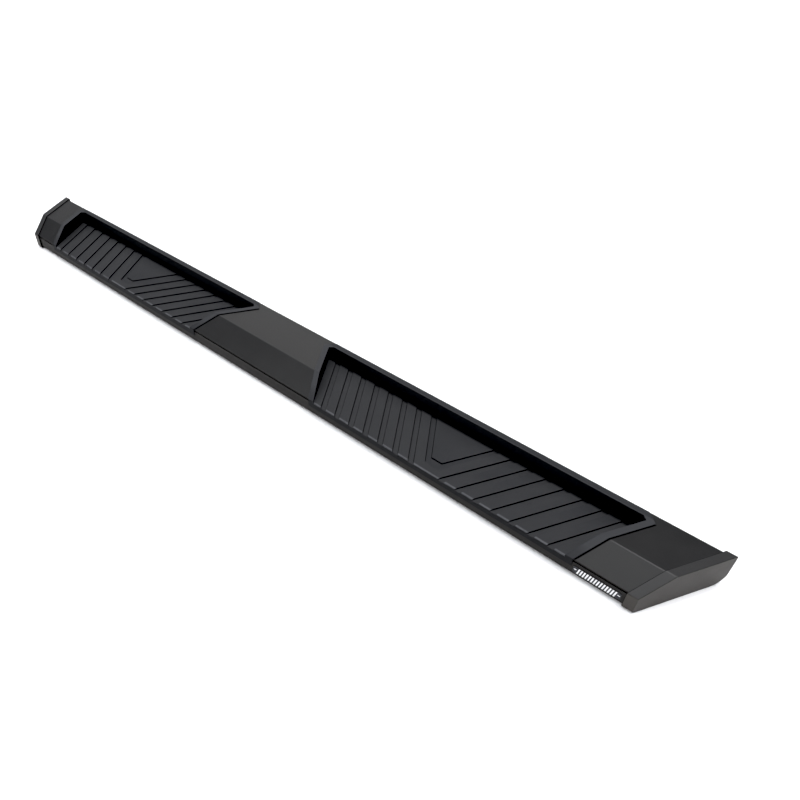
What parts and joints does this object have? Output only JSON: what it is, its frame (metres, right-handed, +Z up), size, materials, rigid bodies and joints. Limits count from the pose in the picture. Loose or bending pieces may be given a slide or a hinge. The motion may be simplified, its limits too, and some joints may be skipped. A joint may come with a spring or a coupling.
{
  "type": "running board",
  "caption": "Black step-style running board for a pickup: hollow extrusion with raked ends, recessed step trays, end caps and bracket nuts that slide in slots underneath.",
  "frame": {"origin": "bottom centre of the bounding box: on the floor plane that the end caps' undersides touch, midway along and across the board", "axes": "+X along the board towards the front of the vehicle, +Y towards the vehicle, +Z up"},
  "size_m": [2.329, 0.1876, 0.0832],
  "materials": {
    "coated_aluminium": "fine-texture black powder coat on extruded aluminium",
    "tray_plastic": "moulded black plastic with a fine leather-like grain",
    "cap_plastic": "moulded black plastic with a fine grain",
    "black_steel": "black zinc plated steel",
    "zinc_steel": "bright zinc plated steel",
    "badge_aluminium": "brushed aluminium, plain"
  },
  "bodies": {
    "board": {"board_extrusion": "coated_aluminium", "rear_step_tray": "tray_plastic", "front_step_tray": "tray_plastic", "rear_end_cap": "cap_plastic", "rear_cap_screw_inner": "black_steel", "rear_cap_screw_outer": "black_steel", "front_end_cap": "cap_plastic", "front_cap_screw_inner": "black_steel", "front_cap_screw_outer": "black_steel", "rear_tray_screw_inner_1": "black_steel", "rear_tray_screw_inner_2": "black_steel", "rear_tray_screw_inner_3": "black_steel", "rear_tray_screw_outer_1": "black_steel", "rear_tray_screw_outer_2": "black_steel", "rear_tray_screw_outer_3": "black_steel", "front_tray_screw_inner_1": "black_steel", "front_tray_screw_inner_2": "black_steel", "front_tray_screw_inner_3": "black_steel", "front_tray_screw_outer_1": "black_steel", "front_tray_screw_outer_2": "black_steel", "front_tray_screw_outer_3": "black_steel", "name_badge": "badge_aluminium"},
    "nut_rear_inner": {"slot_nut_rear_inner": "zinc_steel"},
    "nut_rear_outer": {"slot_nut_rear_outer": "zinc_steel"},
    "nut_centre_inner": {"slot_nut_centre_inner": "zinc_steel"},
    "nut_centre_outer": {"slot_nut_centre_outer": "zinc_steel"},
    "nut_front_inner": {"slot_nut_front_inner": "zinc_steel"},
    "nut_front_outer": {"slot_nut_front_outer": "zinc_steel"}
  },
  "joints": [
    {"name": "rear_inner_nut_slide", "type": "slide", "parent": "board", "child": "nut_rear_inner", "axis": [1, 0, 0], "range_m": [-0.375, 0.34]},
    {"name": "rear_outer_nut_slide", "type": "slide", "parent": "board", "child": "nut_rear_outer", "axis": [1, 0, 0], "range_m": [-0.33, 0.34]},
    {"name": "centre_inner_nut_slide", "type": "slide", "parent": "board", "child": "nut_centre_inner", "axis": [1, 0, 0], "range_m": [-0.335, 0.335]},
    {"name": "centre_outer_nut_slide", "type": "slide", "parent": "board", "child": "nut_centre_outer", "axis": [1, 0, 0], "range_m": [-0.335, 0.335]},
    {"name": "front_inner_nut_slide", "type": "slide", "parent": "board", "child": "nut_front_inner", "axis": [1, 0, 0], "range_m": [-0.34, 0.375]},
    {"name": "front_outer_nut_slide", "type": "slide", "parent": "board", "child": "nut_front_outer", "axis": [1, 0, 0], "range_m": [-0.34, 0.33]}
  ]
}
